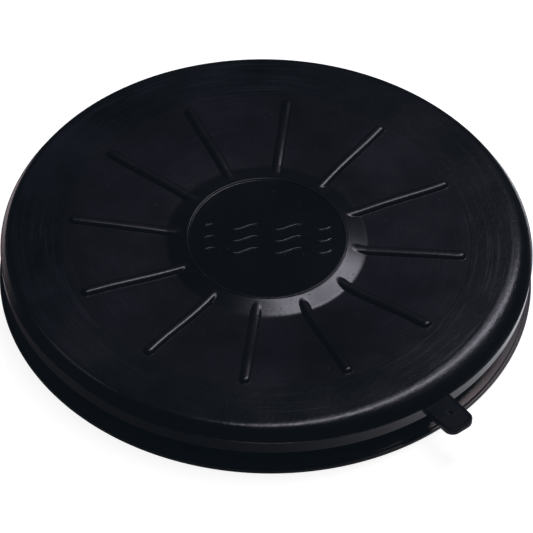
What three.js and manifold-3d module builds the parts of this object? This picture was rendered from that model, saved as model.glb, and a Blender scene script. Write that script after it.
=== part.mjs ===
// Round rubber hatch cover for a sea kayak, snapped over its deck rim. Millimetres, +Z up.
//
// The cover is two rubber compounds moulded as one: a hard centre panel with twelve raised ribs
// and a raised boss, and a soft edge ring that stretches over the bead of the rim. A badge disc
// sits in the boss, and a soft tab sticks out of the edge ring to peel the cover off.
// The rim is a collar with a bead on top and a flat flange at its foot, which lies on the deck.
//
// The origin is the bottom centre of the whole object's box. The tab points to -Y, so the axis
// of the round parts stands half of the tab's reach behind the origin.

import * as THREE from 'three';
import { mergeVertices } from 'three/addons/utils/BufferGeometryUtils.js';
import Module from 'manifold-3d';

const wasm = await Module();
wasm.setup();

// ---------------------------------------------------------------- driving dimensions

const turns = 72;                 // flats round each turned part
const gap = 0.3;                  // between neighbours that touch on the real object

// deck rim
const openingRadius = 120;        // the 240 mm hatch size
const flangeRadius = 136;
const flangeThickness = 2.2;      // at the outer edge
const flangeSlopeRadius = 129.5;  // the top slopes down from here to the edge
const flangeRise = 2;             // and is this much thicker inside
const collarWall = 3.2;
const collarHeight = 23.3;
const beadReach = 3.4;            // how far the bead stands out of the collar
const coveRadius = 2.4;           // between the collar and its flange

// cover
const coverRadius = 135;          // at the parting line, its widest place
const partingHeight = 21.2;
const crestHeight = 27.9;         // flat top just inside the shoulder
const shoulderRadius = 5.5;
const shoulderRunOut = 30;        // degrees above level where the shoulder's arc meets its wall
const lipBottom = 13.7;           // lower edge of the lip band under the parting line
const lipDraft = 0.4;             // the band narrows by this much towards its lower edge
const panelHeight = 25;           // top of the panel at the foot of the boss
const panelThickness = 3.3;
const compoundRadius = 103.5;     // where the hard panel meets the soft edge ring
const tongueReach = 6.5;          // the panel's edge goes this far into the ring
const tongueDepth = 1.9;          // and lies this far under the surface

// boss and badge disc
const bossBaseRadius = 51;
const bossTopRadius = 41;
const bossHeight = 2.9;
const badgeRadius = 39.7;
const badgeThickness = 1.6;
const badgeSink = 0.4;            // below the rim of the boss
const waveCount = 3;              // plain raised wave lines on the badge
const waveLength = 66;
const wavePitch = 8;
const waveHeight = 1.8;           // crest to middle line
const waveWidth = 2.4;
const waveTurn = -38;             // degrees from +X, about Z
const waveRelief = 0.45;

// ribs
const ribCount = 12;
const ribWidth = 5.2;
const ribHeight = 2;
const ribStartRadius = 43;        // inside the bevel of the boss
const ribEndRadius = 98.8;        // centre of the round end

// pull tab
const tabWidth = 16.4;
const tabThickness = 3.8;
const tabEndRadius = 155.6;
const tabHingeRadius = 139.5;
const tabCorner = 4.4;
const tabHoleRadius = 1.3;
const tabHoleRadiusFromAxis = 144.4;

const axisY = (tabEndRadius - flangeRadius) / 2;

// ---------------------------------------------------------------- shared shapes

function point(r, z) {
  return new THREE.Vector2(r, z);
}

// points on an arc in the r, z plane, angles in degrees from the +r direction
function arc(r, z, radius, from, to, steps) {
  const points = [];
  for (let i = 0; i <= steps; i += 1) {
    const angle = THREE.MathUtils.degToRad(from + ((to - from) * i) / steps);
    points.push(point(r + radius * Math.cos(angle), z + radius * Math.sin(angle)));
  }
  return points;
}

// The wall of the shoulder is straight from the parting line to the end of its arc.
const wallAngle = THREE.MathUtils.degToRad(shoulderRunOut);
const shoulderZ = crestHeight - shoulderRadius;
const wallRise = shoulderZ + shoulderRadius * Math.sin(wallAngle) - partingHeight;
const shoulderR = coverRadius - wallRise * Math.tan(wallAngle) - shoulderRadius * Math.cos(wallAngle);

// The top surface is a shallow dish. It rises from the boss and levels out at the shoulder.
function dishHeight(r) {
  const reach = (r - bossBaseRadius) / (shoulderR - bossBaseRadius);
  const held = THREE.MathUtils.clamp(reach, 0, 1);
  return panelHeight + (crestHeight - panelHeight) * Math.sin((held * Math.PI) / 2);
}

function dish(from, to, steps, lowered) {
  const points = [];
  for (let i = 0; i <= steps; i += 1) {
    const r = from + ((to - from) * i) / steps;
    points.push(point(r, dishHeight(r) - lowered));
  }
  return points;
}

// A profile is turned about Z. It runs anticlockwise as seen with r to the right and z up.
function turned(profile, closed = true) {
  const points = closed ? [...profile, profile[0].clone()] : profile;
  return new THREE.LatheGeometry(points, turns).rotateX(Math.PI / 2);
}

// ---------------------------------------------------------------- joining and cutting

function toSolid(geometry) {
  const bare = geometry.clone();
  bare.deleteAttribute('normal');
  bare.deleteAttribute('uv');
  const merged = mergeVertices(bare, 1e-4);
  const index = merged.index.array;
  const kept = [];
  for (let i = 0; i < index.length; i += 3) {
    const [a, b, c] = [index[i], index[i + 1], index[i + 2]];
    if (a !== b && b !== c && c !== a) {
      kept.push(a, b, c);
    }
  }
  const mesh = new wasm.Mesh({
    numProp: 3,
    vertProperties: Float32Array.from(merged.attributes.position.array),
    triVerts: Uint32Array.from(kept),
  });
  return new wasm.Manifold(mesh);
}

function toGeometry(solid) {
  const mesh = solid.getMesh();
  const geometry = new THREE.BufferGeometry();
  geometry.setAttribute('position', new THREE.BufferAttribute(mesh.vertProperties, 3));
  geometry.setIndex(new THREE.BufferAttribute(mesh.triVerts, 1));
  geometry.computeVertexNormals();
  return geometry;
}

// ---------------------------------------------------------------- deck rim

function deckRimGeometry() {
  const collarOuter = openingRadius + collarWall;
  const beadMiddle = collarHeight - 2.7;
  const beadOuter = collarOuter + beadReach;
  const shelf = flangeThickness + flangeRise;
  return turned([
    point(openingRadius + 0.6, 0),
    point(flangeRadius - 0.4, 0),
    point(flangeRadius, 0.4),
    point(flangeRadius, flangeThickness - 0.9),
    point(flangeRadius - 0.6, flangeThickness),
    point(flangeSlopeRadius, shelf),
    ...arc(collarOuter + coveRadius, shelf + coveRadius, coveRadius, 270, 180, 3),
    point(collarOuter, beadMiddle - 3.6),
    point(beadOuter - 0.6, beadMiddle - 1.4),
    ...arc(beadOuter - 1.4, beadMiddle, 1.4, -20, 60, 3),
    point(collarOuter + 0.8, collarHeight),
    point(openingRadius + 1, collarHeight),
    point(openingRadius, collarHeight - 1),
    point(openingRadius, 0.6),
  ]);
}

// ---------------------------------------------------------------- soft edge ring

function edgeRingGeometry() {
  const grooveTop = collarHeight + gap;
  const beadOuter = openingRadius + collarWall + beadReach;
  const hookRadius = beadOuter + 0.4;          // clears the bead, so the cover lifts straight off
  const grooveOuter = hookRadius + 1.4;
  const spigotOuter = openingRadius - 1.4;
  const spigotInner = spigotOuter - 4.6;
  const spigotBottom = 16;
  const ceiling = panelHeight - 1.2;           // underside of the ring inside the spigot
  const lapRadius = compoundRadius + gap;
  const lapEnd = lapRadius + tongueReach;
  const lapDepth = tongueDepth - gap;
  const ring = toSolid(turned([
    point(coverRadius - lipDraft - 0.6, lipBottom),
    point(coverRadius - lipDraft, lipBottom + 0.6),
    point(coverRadius, partingHeight),
    ...arc(shoulderR, shoulderZ, shoulderRadius, shoulderRunOut, 90, 6),
    ...dish(shoulderR - 5, lapRadius, 4, 0),
    ...dish(lapRadius, lapEnd, 1, lapDepth),
    point(lapEnd, ceiling),
    point(spigotInner - 1.2, ceiling),
    point(spigotInner, ceiling - 1.2),
    point(spigotInner, spigotBottom + 1),
    point(spigotInner + 1, spigotBottom),
    point(spigotOuter - 1.2, spigotBottom),
    point(spigotOuter, spigotBottom + 1.2),
    point(spigotOuter, grooveTop - 0.8),
    point(spigotOuter + 0.8, grooveTop),
    point(grooveOuter - 1.2, grooveTop),
    point(grooveOuter, grooveTop - 1.2),
    point(grooveOuter, 18.6),
    point(hookRadius, 17.2),
    point(hookRadius, lipBottom + 0.8),
    point(hookRadius + 0.8, lipBottom),
  ]));
  const rootInner = coverRadius - 4;
  const rootOuter = tabHingeRadius - tabThickness / 2 - gap;
  const root = new THREE.BoxGeometry(tabWidth, rootOuter - rootInner, tabThickness);
  root.translate(0, -(rootInner + rootOuter) / 2, partingHeight - tabThickness / 2);
  return toGeometry(ring.add(toSolid(root)));
}

// ---------------------------------------------------------------- centre panel

function ribGeometry() {
  const length = ribEndRadius - ribStartRadius;
  const rib = new THREE.CapsuleGeometry(ribWidth / 2, length, 4, 12);
  rib.rotateZ(-Math.PI / 2);
  rib.scale(1, 1, ribHeight / (ribWidth / 2));
  const rise = dishHeight(ribEndRadius) - panelHeight;
  rib.rotateY(-Math.atan(rise / (ribEndRadius - bossBaseRadius)));
  rib.translate((ribStartRadius + ribEndRadius) / 2, 0, panelHeight + rise / 2 - 0.15);
  return rib;
}

function centrePanelGeometry() {
  const bossTop = panelHeight + bossHeight;
  const recessRadius = badgeRadius + gap;
  const recessFloor = bossTop - badgeSink - badgeThickness - gap;
  const tongueEnd = compoundRadius + tongueReach;
  let panel = toSolid(turned([
    point(0, panelHeight - panelThickness),
    point(bossBaseRadius, panelHeight - panelThickness),
    ...dish(bossBaseRadius + 20, tongueEnd, 4, panelThickness),
    ...dish(tongueEnd, compoundRadius, 1, tongueDepth),
    ...dish(compoundRadius, bossBaseRadius, 6, 0),
    point(bossTopRadius, bossTop),
    point(recessRadius, bossTop),
    point(recessRadius, recessFloor),
    point(0, recessFloor),
  ], false));
  const rib = ribGeometry();
  for (let i = 0; i < ribCount; i += 1) {
    const angle = ((i + 0.5) * 2 * Math.PI) / ribCount;
    panel = panel.add(toSolid(rib.clone().rotateZ(angle)));
  }
  return toGeometry(panel);
}

// ---------------------------------------------------------------- badge disc

function waveGeometry(offset, top) {
  const steps = 24;
  const upper = [];
  const lower = [];
  for (let i = 0; i <= steps; i += 1) {
    const x = waveLength * (i / steps - 0.5);
    const y = offset + waveHeight * Math.sin((6 * Math.PI * i) / steps);
    upper.push(point(x, y + waveWidth / 2));
    lower.unshift(point(x, y - waveWidth / 2));
  }
  const outline = new THREE.Shape([...upper, ...lower]);
  const line = new THREE.ExtrudeGeometry(outline, { depth: waveRelief + 0.4, bevelEnabled: false });
  line.translate(0, 0, top - 0.4);
  return line.rotateZ(THREE.MathUtils.degToRad(waveTurn));
}

function badgeDiscGeometry() {
  const top = panelHeight + bossHeight - badgeSink;
  const bottom = top - badgeThickness;
  let disc = toSolid(turned([
    point(0, bottom),
    point(badgeRadius - 0.3, bottom),
    point(badgeRadius, bottom + 0.3),
    point(badgeRadius, top - 0.2),
    point(badgeRadius - 0.2, top),
    point(0, top),
  ], false));
  for (let i = 0; i < waveCount; i += 1) {
    const offset = (i - (waveCount - 1) / 2) * wavePitch;
    disc = disc.add(toSolid(waveGeometry(offset, top)));
  }
  return toGeometry(disc);
}

// ---------------------------------------------------------------- pull tab

function pullTabGeometry() {
  const half = tabWidth / 2;
  const root = tabHingeRadius - tabThickness / 2;
  const plan = new THREE.Shape();
  plan.moveTo(-half, -root + 1);
  plan.lineTo(-half, -tabEndRadius + tabCorner);
  plan.absarc(-half + tabCorner, -tabEndRadius + tabCorner, tabCorner, Math.PI, 1.5 * Math.PI);
  plan.lineTo(half - tabCorner, -tabEndRadius);
  plan.absarc(half - tabCorner, -tabEndRadius + tabCorner, tabCorner, 1.5 * Math.PI, 2 * Math.PI);
  plan.lineTo(half, -root + 1);
  plan.closePath();
  const hole = new THREE.Path();
  hole.absarc(0, -tabHoleRadiusFromAxis, tabHoleRadius, 0, 2 * Math.PI);
  plan.holes.push(hole);
  const sheet = new THREE.ExtrudeGeometry(plan, {
    depth: tabThickness,
    bevelEnabled: false,
    curveSegments: 6,
  });
  sheet.translate(0, 0, partingHeight - tabThickness);

  // seen from the side: a round root about the hinge, a flat body and a rounded end
  const radius = tabThickness / 2;
  const round = 1.1;
  const side = new THREE.Shape();
  side.absarc(tabHingeRadius, 0, radius, Math.PI / 2, 1.5 * Math.PI);
  side.lineTo(tabEndRadius - round, -radius);
  side.absarc(tabEndRadius - round, -radius + round, round, 1.5 * Math.PI, 2 * Math.PI);
  side.absarc(tabEndRadius - round, radius - round, round, 0, Math.PI / 2);
  side.closePath();
  const body = new THREE.ExtrudeGeometry(side, {
    depth: tabWidth + 2,
    bevelEnabled: false,
    curveSegments: 6,
  });
  body.translate(0, 0, -tabWidth / 2 - 1);
  body.rotateX(Math.PI / 2);
  body.rotateZ(-Math.PI / 2);
  body.translate(0, 0, partingHeight - radius);
  return toGeometry(toSolid(sheet).intersect(toSolid(body)));
}

// ---------------------------------------------------------------- the object

function material(color, roughness, metalness = 0) {
  return new THREE.MeshStandardMaterial({ color, roughness, metalness });
}

const hardRubber = material(0x131315, 0.42);
const softRubber = material(0x111113, 0.5);
const glossRubber = material(0x08080a, 0.25);
const rimPlastic = material(0x151516, 0.45);

const parts = [
  ['deck_rim', deckRimGeometry(), rimPlastic],
  ['edge_ring', edgeRingGeometry(), softRubber],
  ['centre_panel', centrePanelGeometry(), hardRubber],
  ['badge_disc', badgeDiscGeometry(), glossRubber],
  ['pull_tab', pullTabGeometry(), softRubber],
];

const hatchCover = new THREE.Group();
hatchCover.position.y = axisY;
for (const [name, geometry, look] of parts) {
  const mesh = new THREE.Mesh(geometry, look.clone());
  mesh.name = name;
  hatchCover.add(mesh);
}

export default hatchCover;
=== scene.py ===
import math

import bpy
import numpy as np
from mathutils import Matrix, Vector


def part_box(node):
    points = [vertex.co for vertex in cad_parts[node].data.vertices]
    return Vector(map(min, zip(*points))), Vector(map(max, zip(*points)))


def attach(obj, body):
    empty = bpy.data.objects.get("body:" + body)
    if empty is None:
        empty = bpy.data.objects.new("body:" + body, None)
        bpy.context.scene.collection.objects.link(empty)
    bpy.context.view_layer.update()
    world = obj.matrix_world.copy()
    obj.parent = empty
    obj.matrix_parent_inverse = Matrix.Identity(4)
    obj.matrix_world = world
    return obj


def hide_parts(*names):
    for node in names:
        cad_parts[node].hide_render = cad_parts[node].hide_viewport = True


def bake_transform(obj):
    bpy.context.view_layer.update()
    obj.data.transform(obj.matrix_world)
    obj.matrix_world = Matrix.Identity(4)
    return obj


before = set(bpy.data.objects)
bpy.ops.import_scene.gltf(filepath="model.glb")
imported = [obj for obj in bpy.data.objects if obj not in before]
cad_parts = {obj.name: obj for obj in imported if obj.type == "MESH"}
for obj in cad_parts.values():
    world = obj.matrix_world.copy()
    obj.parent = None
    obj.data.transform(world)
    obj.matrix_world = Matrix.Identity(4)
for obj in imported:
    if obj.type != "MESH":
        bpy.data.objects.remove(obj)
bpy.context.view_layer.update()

# A round rubber hatch cover on its deck rim. Lengths in the tables are millimetres.

MM = 0.001
rim_low, rim_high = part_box("deck_rim")
AXIS = Vector(((rim_low.x + rim_high.x) / 2, (rim_low.y + rim_high.y) / 2, 0.0))

# ------------------------------------------------------------------ sizes, mm

TURNS = 384                    # columns round each turned piece

FLANGE_R = 136.0
FLANGE_Z = 2.2                 # at its edge; the top slopes down to there from SHELF_R
SHELF_R = 129.5
SHELF_Z = 4.2
OPENING_R = 120.0
COLLAR_R = 123.2
COLLAR_TOP = 23.3
BEAD_R = 126.6

COVER_R = 135.0                # at the parting line
PARTING_Z = 21.2
CREST_Z = 27.9                 # flat top just inside the shoulder
SHOULDER_R = 5.5
SLACK_SHOULDER_R = 15.0        # where the rubber is slack, beside the tab
SLACK_SIDE = -72.0             # degrees about Z, from +X
RUN_OUT = 30.0                 # degrees above level where the shoulder's arc meets its wall
LIP_Z = 13.7
LIP_DRAFT = 0.4
ROOF_Z = 23.7                  # under the ring, over the rim's collar
SKIRT_IN_R, SKIRT_OUT_R = 114.0, 118.6     # the ring's inner skirt, inside the collar
SKIRT_Z = 16.0
HOOK_R = 127.0                 # the hooked lip, outside the collar and under its bead
HOOK_Z = 17.2
PANEL_Z = 25.0                 # at the foot of the boss
PANEL_T = 3.3
SEAM_R = 103.6                 # hard panel inside, soft ring outside
TONGUE = 6.3

BOSS_BASE_R = 51.0
BOSS_TOP_R = 41.0
BOSS_H = 2.9
BADGE_R = 39.8
BADGE_T = 1.6
BADGE_SINK = 0.4
BEAD_MIDDLE = 40.55            # a fine bead round the disc, on the rim of the boss
BEAD_HALF = 0.6
BEAD_RISE = 0.28
LEAN_TO = np.array([0.643, 0.766])      # the boss is highest towards this side
LEAN = 0.026                            # the slope of its lean
STRETCH = 0.022                         # and how far it is stretched that way
GROWN = ((1.1, 5.0), (0.6, 95.0))       # the ring is this much wider towards these degrees about Z

WAVE_GAP = 8.0                 # three raised wave lines on the disc
WAVE_LENGTH = 66.0
WAVE_HEIGHT = 1.8
WAVE_W = 2.4
WAVE_RELIEF = 0.45
WAVE_TURN = -38.0

RIBS = 12
RIB_W = 5.8
RIB_H = 2.0
RIB_END_R = 98.8
# steps of the mesh from a rib's middle, in half widths: across the rib, and past its end
RIB_STEPS = [0.0, 0.19, 0.38, 0.58, 0.75, 0.865, 0.93, 0.975, 1.015, 1.06, 1.135, 1.27, 1.5]
RIB_END_STEPS = [-0.4, 0.0, 0.2, 0.4, 0.54, 0.7, 0.8, 0.865, 0.92, 0.96, 1.0, 1.04, 1.1, 1.2]

TAB_W = 16.4
TAB_T = 3.8
TAB_END_R = 155.6
TAB_CORNER = 5.0
TAB_HOLE_R = 1.3
TAB_HOLE_AT = 144.4

STEEP, LEVEL = 0.962, 0.988     # cosines of the slopes where the painted shade on sloping faces is full and where it ends

CAMERA_AZIMUTH = -40.0         # degrees
CAMERA_ELEVATION = 46.0
CAMERA_ROLL = 1.75
CAMERA_DISTANCE = 2.55         # m
CAMERA_LENS = 336.6
AIM_UP, AIM_RIGHT, AIM_TOP = 0.0024, 0.00044, 0.0028     # m: along Z, then across and up the view

LAMP = (0.89, 0.86, 1.0)       # colours of the light
WARM = (1.0, 0.82, 0.86)
GLOW_PEAK = 1.25               # brightness of the table beside the cover, in the mirrored part
GLOW_LEAST = 0.04
GLOW_LEFT = 0.6
GLOW_REACH = 0.165, 0.200      # m from the axis, where it starts to fade and where it ends

# The middle of the shoulder's arc. Below the arc, its wall runs straight down to the parting line.
WALL_ANGLE = math.radians(RUN_OUT)
SHOULDER_Z = CREST_Z - SHOULDER_R
WALL_RISE = SHOULDER_Z + SHOULDER_R * math.sin(WALL_ANGLE) - PARTING_Z
SHOULDER_AT = COVER_R - WALL_RISE * math.tan(WALL_ANGLE) - SHOULDER_R * math.cos(WALL_ANGLE)


def dish(r):
    """Height of the cover's top at radius r: a shallow dish that levels out at the shoulder."""
    reach = (np.asarray(r, float) - BOSS_BASE_R) / (SHOULDER_AT - BOSS_BASE_R)
    return PANEL_Z + (CREST_Z - PANEL_Z) * np.sin(np.clip(reach, 0.0, 1.0) * math.pi / 2)


def warp(x, y):
    """Slight unevenness of the moulded rubber, mm."""
    return (0.10 * np.sin(x / 31.0 + 0.6) * np.cos(y / 27.0 - 0.4)
            + 0.05 * np.sin((x + 0.7 * y) / 17.0 + 1.9))


# ------------------------------------------------------------------ mesh helpers


def add_mesh(name, vertices, faces, material, sharp=38.0):
    """A mesh from points in mm about the axis of the round parts."""
    mesh = bpy.data.meshes.new(name)
    points = np.asarray(vertices, float) * MM + np.array(AXIS)
    mesh.from_pydata(points.tolist(), [], faces)
    mesh.validate()
    mesh.polygons.foreach_set("use_smooth", [True] * len(mesh.polygons))
    mesh.set_sharp_from_angle(angle=math.radians(sharp))
    piece = bpy.data.objects.new(name, mesh)
    bpy.context.scene.collection.objects.link(piece)
    mesh.materials.append(material)
    return piece


def filleted(corners, step=9.0, closed=True):
    """A polyline through (r, z, fillet radius) corners, with each corner rounded."""
    count = len(corners)
    out = []
    for i, (r, z, radius) in enumerate(corners):
        here = np.array([r, z], float)
        if radius <= 0 or (not closed and i in (0, count - 1)):
            out.append(here)
            continue
        before = np.array(corners[i - 1][:2], float) - here
        after = np.array(corners[(i + 1) % count][:2], float) - here
        length_a, length_b = np.linalg.norm(before), np.linalg.norm(after)
        before, after = before / length_a, after / length_b
        angle = math.acos(np.clip(before @ after, -1.0, 1.0))
        reach = min(radius / math.tan(angle / 2), 0.49 * length_a, 0.49 * length_b)
        radius = reach * math.tan(angle / 2)
        middle = here + (before + after) / np.linalg.norm(before + after) * radius / math.sin(angle / 2)
        start, end = here + before * reach - middle, here + after * reach - middle
        turn = math.pi - angle
        steps = max(2, math.ceil(math.degrees(turn) / step))
        sign = 1.0 if start[0] * end[1] - start[1] * end[0] > 0 else -1.0
        for k in range(steps + 1):
            a = sign * turn * k / steps
            c, s = math.cos(a), math.sin(a)
            out.append(middle + np.array([c * start[0] - s * start[1], s * start[0] + c * start[1]]))
    return out


def ring_faces(rows, columns, wrap_rows):
    """Quads between rows of points that each go once round the axis."""
    faces = []
    last = rows if wrap_rows else rows - 1
    for i in range(last):
        a, b = i * columns, ((i + 1) % rows) * columns
        for j in range(columns):
            k = (j + 1) % columns
            faces.append((a + j, a + k, b + k, b + j))
    return faces


def circle_of(r, z, columns=TURNS):
    """One row of points round the axis."""
    angles = np.arange(columns) * 2 * math.pi / columns
    return np.column_stack([r * np.cos(angles), r * np.sin(angles), np.full(columns, z)])


def end_faces(rows, columns, start=0):
    """The two flat faces that close a stack of open rows."""
    last = start + (rows - 1) * columns
    return [tuple(range(start, start + columns))[::-1], tuple(range(last, last + columns))]


def turned(name, profile, material):
    """A closed profile turned about the axis."""
    points = np.concatenate([circle_of(r, z) for r, z in profile])
    return add_mesh(name, points, ring_faces(len(profile), TURNS, True), material)


def smooth_max(a, b, width):
    """The larger of two heights, with a fillet of about this width where they cross."""
    blend = np.maximum(width - np.abs(a - b), 0.0) / width
    return np.maximum(a, b) + blend * blend * width / 4


# ------------------------------------------------------------------ materials


class Nodes:
    """Short names for building a material's node tree."""

    def __init__(self, name):
        self.material = bpy.data.materials.new(name)
        self.material.use_nodes = True
        self.tree = self.material.node_tree
        self.shader = self.tree.nodes["Principled BSDF"]
        place = self.add("ShaderNodeTexCoord").outputs["Object"]
        self.place = self.math_vector("SUBTRACT", place, tuple(AXIS))

    def add(self, kind, **values):
        node = self.tree.nodes.new(kind)
        for key, value in values.items():
            setattr(node, key, value)
        return node

    def put(self, socket, value):
        if isinstance(value, bpy.types.NodeSocket):
            self.tree.links.new(value, socket)
        else:
            socket.default_value = value

    def math_vector(self, operation, a, b):
        node = self.add("ShaderNodeVectorMath", operation=operation)
        self.put(node.inputs[0], a)
        self.put(node.inputs[1], b)
        return node.outputs["Value" if operation == "LENGTH" else "Vector"]

    def math(self, operation, a, b=0.0, clamp=False):
        node = self.add("ShaderNodeMath", operation=operation, use_clamp=clamp)
        self.put(node.inputs[0], a)
        self.put(node.inputs[1], b)
        return node.outputs[0]

    def noise(self, vector, scale, detail, roughness=0.5, distortion=0.0):
        node = self.add("ShaderNodeTexNoise")
        self.put(node.inputs["Vector"], vector)
        node.inputs["Scale"].default_value = scale
        node.inputs["Detail"].default_value = detail
        node.inputs["Roughness"].default_value = roughness
        node.inputs["Distortion"].default_value = distortion
        return node.outputs["Fac"]

    def between(self, value, low, high, to_low=0.0, to_high=1.0):
        node = self.add("ShaderNodeMapRange", clamp=True)
        for key, number in zip((1, 2, 3, 4), (low, high, to_low, to_high)):
            node.inputs[key].default_value = number
        self.put(node.inputs[0], value)
        return node.outputs[0]

    def mix(self, factor, a, b):
        node = self.add("ShaderNodeMix", data_type="RGBA")
        self.put(node.inputs[0], factor)
        self.put(node.inputs[6], (*a, 1.0) if isinstance(a, tuple) else a)
        self.put(node.inputs[7], (*b, 1.0) if isinstance(b, tuple) else b)
        return node.outputs[2]

    def radius(self):
        """Distance from the axis, m, and the place with its height left out."""
        flat = self.math_vector("MULTIPLY", self.place, (1.0, 1.0, 0.0))
        return self.math_vector("LENGTH", flat, (0.0, 0.0, 0.0)), flat

    def circular(self, fine, round_about):
        """A vector that changes fast with the radius and slowly round the axis."""
        radius, flat = self.radius()
        unit = self.math_vector("NORMALIZE", flat, (0.0, 0.0, 0.0))
        split = self.add("ShaderNodeSeparateXYZ")
        self.put(split.inputs[0], unit)
        join = self.add("ShaderNodeCombineXYZ")
        self.put(join.inputs[0], self.math("MULTIPLY", radius, fine))
        self.put(join.inputs[1], self.math("MULTIPLY", split.outputs[0], round_about))
        self.put(join.inputs[2], self.math("MULTIPLY", split.outputs[1], round_about))
        return join.outputs[0]

    def bump(self, height, distance, strength, under=None):
        node = self.add("ShaderNodeBump")
        node.inputs["Strength"].default_value = strength
        node.inputs["Distance"].default_value = distance
        self.put(node.inputs["Height"], height)
        if under is not None:
            self.put(node.inputs["Normal"], under)
        return node.outputs["Normal"]


def rubber(name, dark, light, rough, scuffs=0.0, grain=0.25, crinkle=0.0, specular=0.5, slopes=1.0):
    """Moulded rubber or plastic: mottled, finely grained, with faint circular scuffs and dust.

    Slopes is how much of the level faces' tone the sloping faces have; this is painted shade, which darkens
    the sloping faces.
    """
    n = Nodes(name)
    mottle = n.noise(n.place, 22.0, 4.0, 0.6)
    cloud = n.noise(n.place, 9.0, 2.0, 0.5, 0.6)
    fine = n.noise(n.place, 2600.0, 2.0, 0.6)
    arcs = n.noise(n.circular(900.0, 2.4), 1.0, 3.0, 0.65)
    arcs = n.math("MULTIPLY", n.between(arcs, 0.52, 0.72), n.between(cloud, 0.42, 0.62))
    scratches = n.noise(n.circular(4200.0, 5.0), 1.0, 1.0, 0.5)
    scratches = n.math("MULTIPLY", n.between(scratches, 0.66, 0.74), n.between(mottle, 0.5, 0.62))
    specks = n.between(n.noise(n.place, 900.0, 0.0), 0.84, 0.86)
    marks = n.math("ADD", arcs, n.math("MULTIPLY", scratches, 0.8), clamp=True)
    marks = n.math("MULTIPLY", marks, scuffs)
    tone = n.math("ADD", n.between(mottle, 0.35, 0.7, 0.0, 0.6), marks, clamp=True)
    colour = n.mix(tone, dark, light)
    colour = n.mix(n.math("MULTIPLY", specks, 0.5), colour, (0.05, 0.05, 0.055))
    if slopes < 1.0:
        # painted shade: the sloping faces' colour is darkened, so they are darker than the level faces
        facing = n.add("ShaderNodeSeparateXYZ")
        n.put(facing.inputs[0], n.add("ShaderNodeTexCoord").outputs["Normal"])
        level = n.between(facing.outputs["Z"], STEEP, LEVEL, slopes, 1.0)
        colour = n.mix(level, (0.0, 0.0, 0.0), colour)
    n.put(n.shader.inputs["Base Color"], colour)
    roughness = n.math("ADD", n.between(mottle, 0.3, 0.7, rough - 0.05, rough + 0.05),
                       n.math("MULTIPLY", marks, 0.12))
    roughness = n.math("ADD", roughness, n.math("MULTIPLY", specks, 0.2), clamp=True)
    n.put(n.shader.inputs["Roughness"], roughness)
    surface = n.bump(fine, 0.00004, grain)
    surface = n.bump(n.noise(n.place, 420.0, 3.0, 0.6), 0.00020, crinkle, surface)
    surface = n.bump(mottle, 0.0006, 0.10, surface)
    surface = n.bump(marks, 0.00003, 0.4, surface)
    n.put(n.shader.inputs["Normal"], surface)
    n.shader.inputs["Specular IOR Level"].default_value = specular
    return n.material


# slopes=0.2 paints shade on the sloping faces of the panel and the ring
hard_rubber = rubber("hard_rubber", (0.004, 0.002, 0.005), (0.022, 0.016, 0.028), 0.235,
                     scuffs=0.35, slopes=0.2)
soft_rubber = rubber("soft_rubber", (0.001, 0.001, 0.002), (0.016, 0.014, 0.023), 0.225,
                     scuffs=0.9, crinkle=0.60, slopes=0.2)
tab_rubber = rubber("tab_rubber", (0.001, 0.001, 0.002), (0.004, 0.003, 0.005), 0.22,
                    scuffs=0.2, specular=0.15)
gloss_rubber = rubber("gloss_rubber", (0.001, 0.001, 0.001), (0.002, 0.002, 0.002), 0.16, grain=0.1)
rim_plastic = rubber("rim_plastic", (0.003, 0.003, 0.003), (0.012, 0.010, 0.011), 0.40, grain=0.5)

# ------------------------------------------------------------------ deck rim

rim_profile = filleted([
    (OPENING_R, 0.0, 0.5), (FLANGE_R - 0.1, 0.0, 0.3), (FLANGE_R, 1.3, 0.25),
    (FLANGE_R - 0.25, 1.5, 0.1), (FLANGE_R - 0.3, FLANGE_Z - 0.4, 0.15),
    (FLANGE_R - 0.95, FLANGE_Z - 0.1, 0.1), (FLANGE_R - 1.05, FLANGE_Z - 0.9, 0.08),
    (FLANGE_R - 1.75, FLANGE_Z - 0.85, 0.08), (FLANGE_R - 1.9, FLANGE_Z + 0.12, 0.15),
    (SHELF_R, SHELF_Z, 2.0), (COLLAR_R, SHELF_Z, 2.4), (COLLAR_R, 16.8, 1.0),
    (BEAD_R, 19.0, 1.2), (BEAD_R, 21.8, 1.2), (COLLAR_R + 0.6, COLLAR_TOP, 0.8),
    (OPENING_R, COLLAR_TOP, 0.9),
])
rim = turned("deck_rim_body", rim_profile, rim_plastic)
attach(rim, "rim")
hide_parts("deck_rim")

# ------------------------------------------------------------------ soft edge ring


def arc(r, z, radius, start, end, steps):
    """Points on an arc about (r, z), from one angle to another in degrees."""
    angles = np.radians(np.linspace(start, end, steps + 1))
    return [np.array([r + radius * math.cos(a), z + radius * math.sin(a)]) for a in angles]


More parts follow.
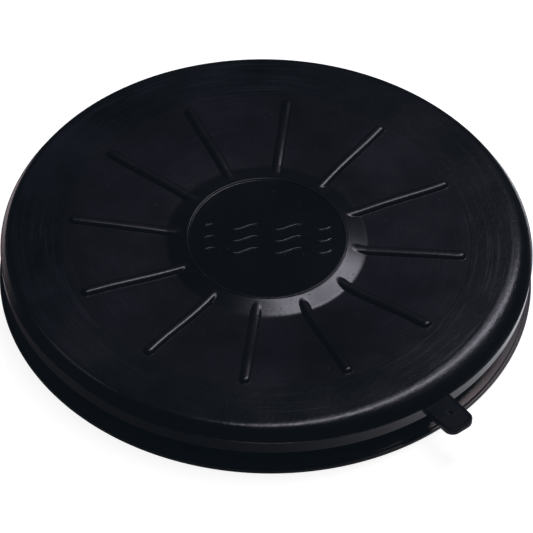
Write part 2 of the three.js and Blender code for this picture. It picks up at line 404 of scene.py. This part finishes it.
def edge_ring_profile(shoulder_r):
    """The ring's closed profile from the lip up and over, with a shoulder of the given radius."""
    # the parting line of the mould stands out as a thin edge at the widest place
    parting = filleted([
        (COVER_R - LIP_DRAFT, LIP_Z + 2.0, 0.0), (COVER_R - 0.14, PARTING_Z - 0.30, 0.1),
        (COVER_R, PARTING_Z - 0.08, 0.05), (COVER_R - 0.02, PARTING_Z + 0.08, 0.05),
        (COVER_R - 0.30, PARTING_Z + 0.18, 0.0),
    ], closed=False)
    # all shoulders run into the same wall, so a wider one starts further in
    at = SHOULDER_AT + (SHOULDER_R - shoulder_r) * math.tan(WALL_ANGLE)
    outer = arc(at, CREST_Z - shoulder_r, shoulder_r, RUN_OUT + 1.0, 90.0, 26)
    top = [np.array([r, float(dish(r))]) for r in np.linspace(at - 0.6, SEAM_R + 0.4, 24)]
    under = filleted([
        (SEAM_R + 0.3, float(dish(SEAM_R)), 0.0), (SEAM_R + 0.02, float(dish(SEAM_R)) - 0.01, 0.0),
        (SEAM_R + 0.02, float(dish(SEAM_R)) - 1.6, 0.1),
        (SEAM_R + TONGUE + 0.3, float(dish(SEAM_R + TONGUE)) - 1.6, 0.1),
        (SEAM_R + TONGUE + 0.3, ROOF_Z + 0.1, 0.3),
        (SKIRT_IN_R, ROOF_Z + 0.1, 1.2), (SKIRT_IN_R, SKIRT_Z, 1.2),
        (SKIRT_OUT_R, SKIRT_Z, 1.4), (SKIRT_OUT_R, ROOF_Z - 0.1, 0.8),
        (HOOK_R + 1.4, ROOF_Z - 0.1, 1.4), (HOOK_R + 1.4, HOOK_Z + 1.4, 0.8), (HOOK_R, HOOK_Z, 0.8),
        (HOOK_R, LIP_Z, 0.9),
        (COVER_R - LIP_DRAFT - 0.05, LIP_Z, 0.7), (COVER_R - LIP_DRAFT, LIP_Z + 2.0, 0.0),
    ], closed=False)
    return parting + outer + top + under[:-1]


def towards(angles, degrees):
    """1 on the side that lies this many degrees about Z from +X, falling to 0 a quarter turn away."""
    return np.maximum(np.cos(np.asarray(angles) - math.radians(degrees)), 0.0) ** 2


def cover_unevenness(points):
    """The soft cover doesn't lie quite true on its rim: out of round, and its boss leans a little."""
    x, y = points[:, 0].copy(), points[:, 1].copy()
    r, angles = np.hypot(x, y), np.arctan2(y, x)
    grown = sum(wider * towards(angles, side) for wider, side in GROWN)
    grown = grown * np.clip((r - 105.0) / 25.0, 0.0, 1.0)
    near = np.clip((92.0 - r) / 40.0, 0.0, 1.0)
    near = near * near * (3 - 2 * near)
    along = (x * LEAN_TO[0] + y * LEAN_TO[1]) * near
    points[:, 2] += warp(x, y) + LEAN * along
    points[:, :2] *= (1 + grown / np.maximum(r, 1.0))[:, None]
    points[:, :2] += STRETCH * along[:, None] * LEAN_TO
    return points


def edge_ring_body():
    angles = np.arange(TURNS) * 2 * math.pi / TURNS
    slack = towards(angles, SLACK_SIDE)
    radii = SHOULDER_R + (SLACK_SHOULDER_R - SHOULDER_R) * slack
    profiles = np.array([edge_ring_profile(radius) for radius in radii])     # column, row, (r, z)
    rows = profiles.transpose(1, 0, 2)
    points = np.stack([rows[:, :, 0] * np.cos(angles), rows[:, :, 0] * np.sin(angles), rows[:, :, 1]], axis=2)
    points = cover_unevenness(points.reshape(-1, 3))
    return add_mesh("edge_ring_body", points, ring_faces(len(rows), TURNS, True), soft_rubber)


ring = edge_ring_body()
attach(ring, "cover")
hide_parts("edge_ring")

# ------------------------------------------------------------------ centre panel with ribs and boss


def panel_columns():
    """Side steps of one twelfth of the panel: fine across the rib, coarse between the ribs."""
    half = [share * RIB_W / 2 for share in RIB_STEPS]
    across = [-d for d in half[:0:-1]] + half
    beside = [0.2, 0.45, 0.72]
    return across, beside


def panel_angles(r):
    """Angles round the axis at radius r. Columns near a rib stay at one distance from its middle."""
    across, beside = panel_columns()
    sector = math.pi / RIBS
    near = np.arcsin(np.clip(np.array(across) / max(r, 42.0), -1, 1))
    right = near[-1] + (sector - near[-1]) * np.array(beside)
    left = -right[::-1]
    local = np.concatenate([left, near, right, [sector]])
    middles = (np.arange(RIBS) + 0.5) * 2 * sector
    return (middles[:, None] + local[None, :]).ravel()


def panel_top(x, y):
    """Height of the panel's top, with its boss, ribs and the bead round the disc."""
    r = np.hypot(x, y)
    surface = dish(r)
    bevel = PANEL_Z + BOSS_H * (BOSS_BASE_R - r) / (BOSS_BASE_R - BOSS_TOP_R)
    top = smooth_max(surface, np.minimum(bevel, PANEL_Z + BOSS_H), 0.35)
    top = np.minimum(top, PANEL_Z + BOSS_H)
    angle = np.arctan2(y, x)
    sector = 2 * math.pi / RIBS
    local = (angle / sector - 0.5 - np.round(angle / sector - 0.5)) * sector
    along, side = r * np.cos(local), r * np.sin(local)
    distance = np.hypot(side, np.maximum(along - RIB_END_R, 0.0))
    half = RIB_W / 2
    inside = np.sqrt(np.maximum(1 - (distance / half) ** 2, 0.0)) * RIB_H
    rib = dish(np.maximum(along, BOSS_BASE_R)) + np.where(distance < half, inside, -(distance - half) * 6)
    joined = smooth_max(top, rib, 0.4)
    bead = top + BEAD_RISE * np.sqrt(np.clip(1 - ((r - BEAD_MIDDLE) / BEAD_HALF) ** 2, 0.0, 1.0))
    return np.where(r < BEAD_MIDDLE + BEAD_HALF, bead, joined)


def panel_body():
    """Rows of points go up the hidden side, in over the top and down into the disc's recess."""
    top_rows = np.unique(np.concatenate([
        BEAD_MIDDLE + BEAD_HALF * np.array([-0.97, -0.85, -0.65, -0.4, 0.0, 0.4, 0.65, 0.85, 0.99]),
        np.linspace(BOSS_TOP_R + 0.5, BOSS_BASE_R - 1, 15),
        BOSS_BASE_R + np.array([-0.6, -0.3, 0.0, 0.3, 0.6, 1.0]),
        np.linspace(BOSS_BASE_R + 2, RIB_END_R - 2, 26),
        RIB_END_R + RIB_W / 2 * np.array(RIB_END_STEPS),
        [SEAM_R - 1.0, SEAM_R - 0.3],
    ]))[::-1]
    edge_z, tongue_z = float(dish(SEAM_R)), float(dish(SEAM_R + TONGUE))
    floor_z = PANEL_Z + BOSS_H - BADGE_SINK - BADGE_T - 0.1
    hidden = filleted([
        (1.5, PANEL_Z - PANEL_T, 0.0), (BOSS_BASE_R, PANEL_Z - PANEL_T, 4.0),
        (85.0, float(dish(85.0)) - PANEL_T, 4.0), (SEAM_R + TONGUE, tongue_z - PANEL_T, 0.3),
        (SEAM_R + TONGUE, tongue_z - 1.9, 0.3), (SEAM_R, edge_z - 1.9, 0.2),
        (SEAM_R, edge_z - 0.2, 0.0), (SEAM_R - 0.02, edge_z - 0.01, 0.0),
    ], closed=False)
    recess = [(BADGE_R + 0.1, PANEL_Z + BOSS_H - 0.1), (BADGE_R + 0.08, PANEL_Z + BOSS_H - 0.5),
              (BADGE_R + 0.06, floor_z + 0.1), (BADGE_R - 0.2, floor_z), (20.0, floor_z), (1.5, floor_z)]

    def row(r, z=None):
        a = panel_angles(r)
        x, y = r * np.cos(a), r * np.sin(a)
        return np.column_stack([x, y, panel_top(x, y) if z is None else np.full(len(a), z)])

    rows = [row(r, z) for r, z in hidden] + [row(r) for r in top_rows] + [row(r, z) for r, z in recess]
    columns = len(rows[0])
    points = cover_unevenness(np.concatenate(rows))
    faces = ring_faces(len(rows), columns, False) + end_faces(len(rows), columns)
    return add_mesh("centre_panel_body", points, faces, hard_rubber, sharp=50.0)


panel = panel_body()
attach(panel, "cover")
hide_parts("centre_panel")

# ------------------------------------------------------------------ badge disc

BADGE_TOP = PANEL_Z + BOSS_H - BADGE_SINK


def badge_body():
    """The disc with a fine edge, and three wave lines as closed shells sunk into it."""
    bottom = BADGE_TOP - BADGE_T
    profile = filleted([
        (1.0, bottom, 0.0), (BADGE_R, bottom, 0.2), (BADGE_R, BADGE_TOP + 0.05, 0.06),
        (BADGE_R - 0.3, BADGE_TOP + 0.05, 0.1), (BADGE_R - 0.45, BADGE_TOP, 0.1),
        (BADGE_R - 6.0, BADGE_TOP, 0.0), (20.0, BADGE_TOP, 0.0), (1.0, BADGE_TOP, 0.0),
    ], closed=False)
    turns = TURNS // 2
    rows = [circle_of(r, z, turns) for r, z in profile]
    points = [cover_unevenness(np.concatenate(rows))]
    faces = ring_faces(len(rows), turns, False) + end_faces(len(rows), turns)
    start = len(rows) * turns
    for offset in (-WAVE_GAP, 0.0, WAVE_GAP):
        wave_points, wave_faces = wave_line(offset, start)
        points.append(wave_points)
        faces += wave_faces
        start += len(wave_points)
    return add_mesh("badge_disc_body", np.concatenate(points), faces, gloss_rubber, sharp=60.0)


def wave_line(offset, start):
    """A raised wavy line of three waves with rounded top edges. Its points are numbered from start."""
    steps = 120
    turns = 6 * math.pi
    section = [(-1.0, -0.3), (-0.97, 0.3), (-0.85, 0.62), (-0.62, 0.86), (-0.3, 0.98), (0.0, 1.0),
               (0.3, 0.98), (0.62, 0.86), (0.85, 0.62), (0.97, 0.3), (1.0, -0.3)]
    rows = []
    for i in range(steps + 1):
        t = i / steps
        x = WAVE_LENGTH * (t - 0.5)
        y = offset + WAVE_HEIGHT * math.sin(turns * t)
        rise = WAVE_HEIGHT * turns / WAVE_LENGTH * math.cos(turns * t)
        side = np.array([-rise, 1.0]) / math.hypot(rise, 1.0)
        taper = min(1.0, math.sqrt(max(0.02, min(t, 1 - t) / 0.03)))
        for across, up in section:
            at = np.array([x, y]) + side * across * WAVE_W / 2 * taper
            rows.append((at[0], at[1], BADGE_TOP + up * WAVE_RELIEF * (taper if up > 0 else 1.0)))
    c, s = math.cos(math.radians(WAVE_TURN)), math.sin(math.radians(WAVE_TURN))
    points = np.array(rows)
    points[:, :2] = points[:, :2] @ np.array([[c, s], [-s, c]])
    points = cover_unevenness(points)
    count = len(section)
    faces = [tuple(start + index for index in face) for face in ring_faces(steps + 1, count, False)]
    return points, faces + end_faces(steps + 1, count, start)


badge = badge_body()
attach(badge, "cover")
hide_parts("badge_disc")

# ------------------------------------------------------------------ pull tab


def tab_outline(inset, count_side=14, corner_steps=6):
    """The tab's outline, seen from above, moved inwards by inset. Points run anticlockwise."""
    half = TAB_W / 2 - inset
    root, end = -(COVER_R - 4.0) - inset, -TAB_END_R + inset
    radius = max(TAB_CORNER - inset, 0.3)
    points = []
    sides = np.linspace(root, end + radius, count_side, endpoint=False)
    points += [(-half, y) for y in sides]
    corner = np.linspace(math.pi, 1.5 * math.pi, corner_steps)
    points += [(-half + radius + radius * math.cos(a), end + radius + radius * math.sin(a)) for a in corner]
    points += [(x, end) for x in np.linspace(-half + radius, half - radius, 8)[1:-1]]
    corner = np.linspace(1.5 * math.pi, 2 * math.pi, corner_steps)
    points += [(half - radius + radius * math.cos(a), end + radius + radius * math.sin(a)) for a in corner]
    points += [(half, y) for y in sides[::-1]]
    points += [(x, root) for x in np.linspace(half, -half, 8)[1:-1]]
    return np.array(points)


def tab_body():
    """Loops of points go down the outside, across the underside to the hole, and back over the top."""
    outer = tab_outline(0.0)
    count = len(outer)
    hole_middle = np.array([0.0, -TAB_HOLE_AT])
    inner_start = tab_outline(1.6)
    bearings = np.arctan2(*(inner_start - hole_middle).T[::-1])
    circle = np.column_stack([np.cos(bearings), np.sin(bearings)])
    top, bottom = PARTING_Z, PARTING_Z - TAB_T

    def loop(outline, z):
        return np.column_stack([outline, np.full(count, z)])

    rows = []
    # the edge of the top stands up a little as a rounded welt
    for inset, drop in ((1.6, 0.22), (1.25, 0.2), (1.0, 0.1), (0.75, 0.0), (0.45, 0.03),
                        (0.2, 0.15), (0.05, 0.4), (0.0, 0.8)):
        rows.append(loop(tab_outline(inset), top - drop))
    for inset, rise in ((0.0, 0.8), (0.1, 0.35), (0.35, 0.1), (0.8, 0.0), (1.6, 0.0)):
        rows.append(loop(tab_outline(inset), bottom + rise))

    def towards_hole(z_edge, z_hole):
        near_hole = hole_middle + circle * (TAB_HOLE_R + 0.55)
        return [loop(inner_start * (1 - t) + near_hole * t, z_edge * (1 - t) + z_hole * t)
                for t in (0.12, 0.25, 0.4, 0.55, 0.7, 0.82, 0.92)]

    rows += towards_hole(bottom, bottom)
    for wider, z in ((0.4, bottom), (0.08, bottom + 0.1), (0.0, bottom + 0.4),
                     (0.0, top - 0.5), (0.1, top - 0.2), (0.35, top - 0.12)):
        rows.append(loop(hole_middle + circle * (TAB_HOLE_R + wider), z))
    rows += towards_hole(top - 0.22, top - 0.2)[::-1]
    points = np.concatenate(rows)
    faces = ring_faces(len(rows), count, True)
    return add_mesh("pull_tab_body", points, faces, tab_rubber, sharp=60.0)


tab = tab_body()
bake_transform(tab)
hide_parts("pull_tab")

# ------------------------------------------------------------------ floor, light and camera


def studio():
    """A white table that glows a little, so it is evenly white, and a faint sky."""
    bpy.ops.mesh.primitive_plane_add(size=6.0, location=(0, 0, 0))
    floor = bpy.context.object
    floor.name = "floor"
    n = Nodes("floor_paper")
    n.put(n.shader.inputs["Base Color"], (0.8, 0.8, 0.8, 1.0))
    n.shader.inputs["Roughness"].default_value = 0.9
    n.shader.inputs["Emission Color"].default_value = (1.0, 1.0, 1.0, 1.0)
    n.shader.inputs["Emission Strength"].default_value = 0.9
    floor.data.materials.append(n.material)
    floor.visible_glossy = False

    world = bpy.data.worlds.new("studio")
    bpy.context.scene.world = world
    world.use_nodes = True
    world.node_tree.nodes["Background"].inputs[0].default_value = (0.8, 0.9, 1.0, 1.0)
    world.node_tree.nodes["Background"].inputs[1].default_value = 0.02


def area_light(name, direction, distance, size, power, colour, only_on=None):
    """A soft light that looks at the cover from a direction. It may light one piece only."""
    light = bpy.data.lights.new(name, "AREA")
    light.shape = "RECTANGLE"
    light.size, light.size_y = size
    light.energy = power
    light.color = colour
    lamp = bpy.data.objects.new(name, light)
    bpy.context.scene.collection.objects.link(lamp)
    outwards = Vector(direction).normalized()
    lamp.location = AXIS + outwards * distance
    lamp.rotation_euler = outwards.to_track_quat("Z", "Y").to_euler()
    if only_on is not None:
        lamp.light_linking.receiver_collection = bpy.data.collections.new(name + "_lights")
        lamp.light_linking.receiver_collection.objects.link(only_on)


def floor_glow():
    """A bright part of the table beside the cover, which is seen only where the rubber mirrors it."""
    n = Nodes("table_glow")
    radius, flat = n.radius()
    split = n.add("ShaderNodeSeparateXYZ")
    n.put(split.inputs[0], n.math_vector("NORMALIZE", flat, (0.0, 0.0, 0.0)))

    def facing(degrees):
        """1 on the side this many degrees about Z from the right of the view, -1 opposite."""
        a = math.radians(CAMERA_AZIMUTH + degrees)
        return n.math("ADD", n.math("MULTIPLY", split.outputs[0], math.cos(a)),
                      n.math("MULTIPLY", split.outputs[1], math.sin(a)))

    left = n.math("MULTIPLY", n.between(facing(168.0), 0.88, 1.0), GLOW_LEFT)
    side = n.between(facing(8.0), -0.6, 0.85)
    glow = n.math("ADD", n.math("MULTIPLY", n.math("POWER", side, 3.5), GLOW_PEAK), GLOW_LEAST)
    glow = n.math("ADD", glow, left)
    glow = n.math("MULTIPLY", glow, n.between(radius, *GLOW_REACH, 1.0, 0.0))
    n.put(n.shader.inputs["Base Color"], (0.0, 0.0, 0.0, 1.0))
    n.shader.inputs["Specular IOR Level"].default_value = 0.0
    n.put(n.shader.inputs["Emission Color"], n.mix(side, (1.0, 0.82, 0.90), (0.94, 0.96, 1.04)))
    n.put(n.shader.inputs["Emission Strength"], glow)
    bpy.ops.mesh.primitive_plane_add(size=0.5, location=(AXIS.x, AXIS.y, 0.0006))
    table = bpy.context.object
    table.name = "table_glow"
    table.data.materials.append(n.material)
    table.visible_camera = False
    table.visible_diffuse = False
    table.visible_shadow = False


def from_view(right, back, up):
    """A direction given as seen in the camera's view: to the right, away from it and upwards."""
    a = math.radians(CAMERA_AZIMUTH)
    across = Vector((math.cos(a), math.sin(a), 0.0))
    away = Vector((-math.sin(a), math.cos(a), 0.0))
    return across * right + away * back + Vector((0, 0, 1)) * up


def camera():
    """A long lens from the front and above, rolled a little."""
    a, e = math.radians(CAMERA_AZIMUTH), math.radians(CAMERA_ELEVATION)
    out = Vector((math.sin(a) * math.cos(e), -math.cos(a) * math.cos(e), math.sin(e)))
    across = Vector((math.cos(a), math.sin(a), 0.0))
    up = out.cross(across)
    roll = math.radians(CAMERA_ROLL)
    right = across * math.cos(roll) + up * math.sin(roll)
    top = up * math.cos(roll) - across * math.sin(roll)
    data = bpy.data.cameras.new("camera")
    data.sensor_width = 36.0
    data.lens = CAMERA_LENS
    data.dof.use_dof = False
    view = bpy.data.objects.new("camera", data)
    bpy.context.scene.collection.objects.link(view)
    aim = AXIS + Vector((0, 0, AIM_UP)) + right * AIM_RIGHT + top * AIM_TOP
    place = Matrix((right, top, out)).transposed().to_4x4()
    place.translation = aim + out * CAMERA_DISTANCE
    view.matrix_world = place
    bpy.context.scene.camera = view


studio()
area_light("strip", from_view(0.305, 0.301, 0.904), distance=1.3, size=(0.13, 1.26), power=5.1, colour=LAMP)
area_light("side", from_view(0.497, 0.287, 0.819), distance=1.0, size=(0.5, 0.12), power=5.0, colour=WARM,
           only_on=rim)
area_light("left", from_view(-0.615, 0.08, 0.786), distance=1.3, size=(0.3, 0.3), power=0.22, colour=LAMP,
           only_on=ring)
area_light("spot", from_view(0.303, 0.474, 0.827), distance=1.3, size=(0.36, 0.36), power=0.9, colour=LAMP)
floor_glow()
camera()

# the darkest tones are lifted to a faint blue-grey
look = bpy.context.scene.view_settings
look.view_transform = "Standard"
look.use_curve_mapping = True
look.curve_mapping.black_level = (-0.0030, -0.0046, -0.0064)
look.curve_mapping.update()
